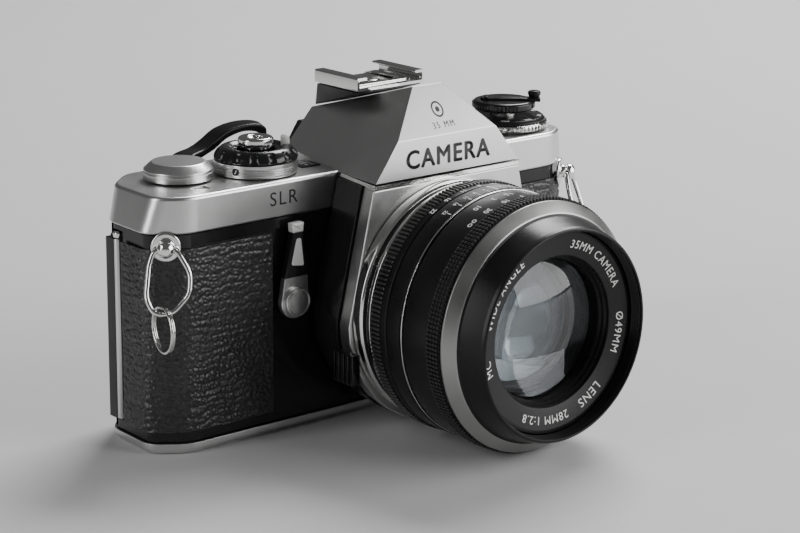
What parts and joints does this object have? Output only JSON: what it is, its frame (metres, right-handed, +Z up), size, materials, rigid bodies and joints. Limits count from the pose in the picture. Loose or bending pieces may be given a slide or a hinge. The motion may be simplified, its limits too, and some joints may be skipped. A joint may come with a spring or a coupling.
{
  "type": "single-lens reflex film camera",
  "caption": "Single-lens reflex film camera with a wide-angle lens, hinged back, wind lever, control dials, focusing rings, self-timer and folding rewind crank.",
  "frame": {"origin": "middle of the camera's footprint box, on the plane that the base plate rests on", "axes": "+Z up, lens looking along -Y, wind lever towards -X and rewind knob towards +X"},
  "size_m": [0.1424, 0.0922, 0.0834],
  "materials": {
    "satin_chrome": "satin chrome plate, fine blasted grain",
    "bright_chrome": "polished chrome plate",
    "black_paint": "gloss black enamel",
    "black_anodised": "black anodised, satin",
    "black_plastic": "moulded black plastic, satin",
    "leatherette": "black grained leatherette",
    "rubber_grip": "black ribbed rubber",
    "cast_metal": "black painted die casting",
    "steel": "plain steel",
    "optical_glass": "coated optical glass",
    "mirror_coat": "front-silvered"
  },
  "bodies": {
    "camera_body": {"body_casting": "cast_metal", "top_cover": "satin_chrome", "counter_window": "optical_glass", "base_plate": "satin_chrome", "tripod_bush": "steel", "front_panel": "satin_chrome", "trim_strip": "bright_chrome", "mount_flange": "bright_chrome", "leatherette_left": "leatherette", "leatherette_right": "leatherette", "door_hinge_pin": "bright_chrome", "focusing_screen": "optical_glass", "pentaprism": "optical_glass", "eyepiece_frame": "black_plastic", "eyepiece_lens": "optical_glass", "shutter_frame": "black_anodised", "shoe_base": "black_plastic", "hot_shoe": "bright_chrome", "shoe_contact": "bright_chrome", "dial_base": "satin_chrome", "strap_lug_left": "bright_chrome", "strap_lug_right": "bright_chrome"},
    "door": {"back_door": "black_paint", "back_leatherette": "leatherette"},
    "film_pressure_plate": {"pressure_plate": "black_anodised"},
    "latch": {"door_latch": "steel"},
    "rewind_sleeve": {"rewind_bush": "steel"},
    "rewind_spindle": {"rewind_shaft": "steel", "rewind_knob": "black_anodised"},
    "crank": {"rewind_crank": "black_anodised"},
    "speed_dial": {"film_speed_dial": "black_anodised"},
    "winder": {"wind_lever": "black_plastic", "wind_lever_cap": "satin_chrome"},
    "spool": {"take_up_spool": "black_plastic"},
    "sprocket": {"film_sprocket": "steel"},
    "dial": {"mode_dial": "black_anodised"},
    "dial_lock": {"dial_lock_button": "satin_chrome"},
    "release_button": {"shutter_button": "bright_chrome"},
    "self_timer": {"self_timer_lever": "satin_chrome", "self_timer_cap": "satin_chrome"},
    "lens_catch": {"lens_release": "black_anodised"},
    "lens": {"lens_barrel": "black_anodised", "scale_ring": "black_anodised", "iris_unit": "black_anodised", "rear_element": "optical_glass"},
    "aperture": {"aperture_ring": "black_anodised"},
    "focus": {"focus_ring": "rubber_grip"},
    "front_group": {"front_barrel": "black_anodised", "name_ring": "black_anodised", "front_element": "optical_glass"},
    "reflex_mirror": {"mirror": "mirror_coat"},
    "leaf_upper": {"shutter_leaf_upper": "steel"},
    "leaf_middle": {"shutter_leaf_middle": "steel"},
    "leaf_lower": {"shutter_leaf_lower": "steel"},
    "ring_left": {"strap_ring_left": "bright_chrome"},
    "ring_right": {"strap_ring_right": "bright_chrome"},
    "split_left": {"split_ring_left": "steel"},
    "split_right": {"split_ring_right": "steel"},
    "battery_lid": {"battery_cover": "steel"},
    "rewind_button": {"rewind_release": "bright_chrome"}
  },
  "joints": [
    {"name": "door_swing", "type": "hinge", "parent": "camera_body", "child": "door", "pos_m": [-0.0649, 0.03205, 0.028], "axis": [0, 0, 1], "range_deg": [0, 110]},
    {"name": "pressure_plate_float", "type": "slide", "parent": "door", "child": "film_pressure_plate", "axis": [0, 1, 0], "range_m": [0, 0.001], "stiffness_N_per_m": 200},
    {"name": "door_latch_slide", "type": "slide", "parent": "camera_body", "child": "latch", "axis": [0, 0, 1], "range_m": [0, 0.002]},
    {"name": "rewind_spin", "type": "hinge", "parent": "camera_body", "child": "rewind_sleeve", "pos_m": [0.0525, 0.02675, 0.06], "axis": [0, 0, 1], "continuous": true},
    {"name": "rewind_lift", "type": "slide", "parent": "rewind_sleeve", "child": "rewind_spindle", "axis": [0, 0, 1], "range_m": [0, 0.008]},
    {"name": "crank_fold", "type": "hinge", "parent": "rewind_spindle", "child": "crank", "pos_m": [0.04898, 0.02971, 0.07], "axis": [-0.6428, -0.766, 0], "range_deg": [0, 150]},
    {"name": "film_speed_turn", "type": "hinge", "parent": "camera_body", "child": "speed_dial", "pos_m": [0.0525, 0.02675, 0.064], "axis": [0, 0, 1], "range_deg": [-150, 150]},
    {"name": "wind_lever_swing", "type": "hinge", "parent": "camera_body", "child": "winder", "pos_m": [-0.0488, 0.03015, 0.064], "axis": [0, 0, 1], "range_deg": [0, 150], "stiffness_Nm_per_rad": 0.004},
    {"name": "spool_turn", "type": "hinge", "parent": "camera_body", "child": "spool", "pos_m": [-0.0426, 0.02665, 0.028], "axis": [0, 0, 1], "range_deg": [0, 360]},
    {"name": "sprocket_turn", "type": "hinge", "parent": "camera_body", "child": "sprocket", "pos_m": [-0.0232, 0.02815, 0.028], "axis": [0, 0, 1], "range_deg": [0, 360]},
    {"name": "mode_dial_turn", "type": "hinge", "parent": "camera_body", "child": "dial", "pos_m": [-0.0296, 0.02515, 0.067], "axis": [0, 0, 1], "range_deg": [-45, 90]},
    {"name": "dial_lock_press", "type": "slide", "parent": "dial", "child": "dial_lock", "axis": [0, 0, -1], "range_m": [0, 0.0008], "stiffness_N_per_m": 150},
    {"name": "shutter_button_press", "type": "slide", "parent": "camera_body", "child": "release_button", "axis": [0, 0, -1], "range_m": [0, 0.0012], "stiffness_N_per_m": 400},
    {"name": "self_timer_swing", "type": "hinge", "parent": "camera_body", "child": "self_timer", "pos_m": [-0.0288, 0.01115, 0.0332], "axis": [0, -1, 0], "range_deg": [0, 120]},
    {"name": "lens_release_press", "type": "slide", "parent": "camera_body", "child": "lens_catch", "axis": [0, 0, -1], "range_m": [0, 0.0025], "stiffness_N_per_m": 300},
    {"name": "lens_bayonet_twist", "type": "hinge", "parent": "camera_body", "child": "lens", "pos_m": [0.0064, -0.01685, 0.0312], "axis": [0, -1, 0], "range_deg": [0, 65]},
    {"name": "aperture_ring_turn", "type": "hinge", "parent": "lens", "child": "aperture", "pos_m": [0.0064, -0.01685, 0.0312], "axis": [0, -1, 0], "range_deg": [0, 60]},
    {"name": "focus_ring_turn", "type": "hinge", "parent": "lens", "child": "focus", "pos_m": [0.0064, -0.01685, 0.0312], "axis": [0, -1, 0], "range_deg": [0, 110]},
    {"name": "front_group_slide", "type": "slide", "parent": "lens", "child": "front_group", "axis": [0, -1, 0], "range_m": [0, 0.0029]},
    {"name": "mirror_flip", "type": "hinge", "parent": "camera_body", "child": "reflex_mirror", "pos_m": [0.0064, 0.02755, 0.0444], "axis": [-1, 0, 0], "range_deg": [0, 45], "stiffness_Nm_per_rad": 0.002},
    {"name": "upper_leaf_fall", "type": "slide", "parent": "camera_body", "child": "leaf_upper", "axis": [0, 0, -1], "range_m": [0, 0.026]},
    {"name": "middle_leaf_fall", "type": "slide", "parent": "camera_body", "child": "leaf_middle", "axis": [0, 0, -1], "range_m": [0, 0.018]},
    {"name": "lower_leaf_fall", "type": "slide", "parent": "camera_body", "child": "leaf_lower", "axis": [0, 0, -1], "range_m": [0, 0.01]},
    {"name": "strap_ring_swing_left", "type": "hinge", "parent": "camera_body", "child": "ring_left", "pos_m": [-0.06402, 0.01385, 0.0512], "axis": [-0.8131, 0.5822, 0], "range_deg": [0, 100]},
    {"name": "split_ring_swing_left", "type": "hinge", "parent": "ring_left", "child": "split_left", "pos_m": [-0.06725, 0.01054, 0.03712], "axis": [-0.8131, 0.5822, 0], "range_deg": [0, 90]},
    {"name": "strap_ring_swing_right", "type": "hinge", "parent": "camera_body", "child": "ring_right", "pos_m": [0.06402, 0.01385, 0.0512], "axis": [-0.8131, -0.5822, 0], "range_deg": [0, 100]},
    {"name": "split_ring_swing_right", "type": "hinge", "parent": "ring_right", "child": "split_right", "pos_m": [0.06725, 0.01054, 0.03712], "axis": [-0.8131, -0.5822, 0], "range_deg": [0, 90]},
    {"name": "battery_cover_turn", "type": "hinge", "parent": "camera_body", "child": "battery_lid", "pos_m": [0.029, 0.02165, 0.001], "axis": [0, 0, -1], "range_deg": [0, 90]},
    {"name": "rewind_release_press", "type": "slide", "parent": "camera_body", "child": "rewind_button", "axis": [0, 0, 1], "range_m": [0, 0.0012], "stiffness_N_per_m": 200}
  ],
  "couplings": [
    {"joint": "sprocket_turn", "follows": "wind_lever_swing", "ratio": 2.4},
    {"joint": "spool_turn", "follows": "wind_lever_swing", "ratio": 2.4},
    {"joint": "door_latch_slide", "follows": "rewind_lift", "ratio": 0.25},
    {"joint": "front_group_slide", "follows": "focus_ring_turn", "m_per_rad": 0.0015},
    {"joint": "middle_leaf_fall", "follows": "upper_leaf_fall", "ratio": 0.6923},
    {"joint": "lower_leaf_fall", "follows": "upper_leaf_fall", "ratio": 0.3846}
  ]
}
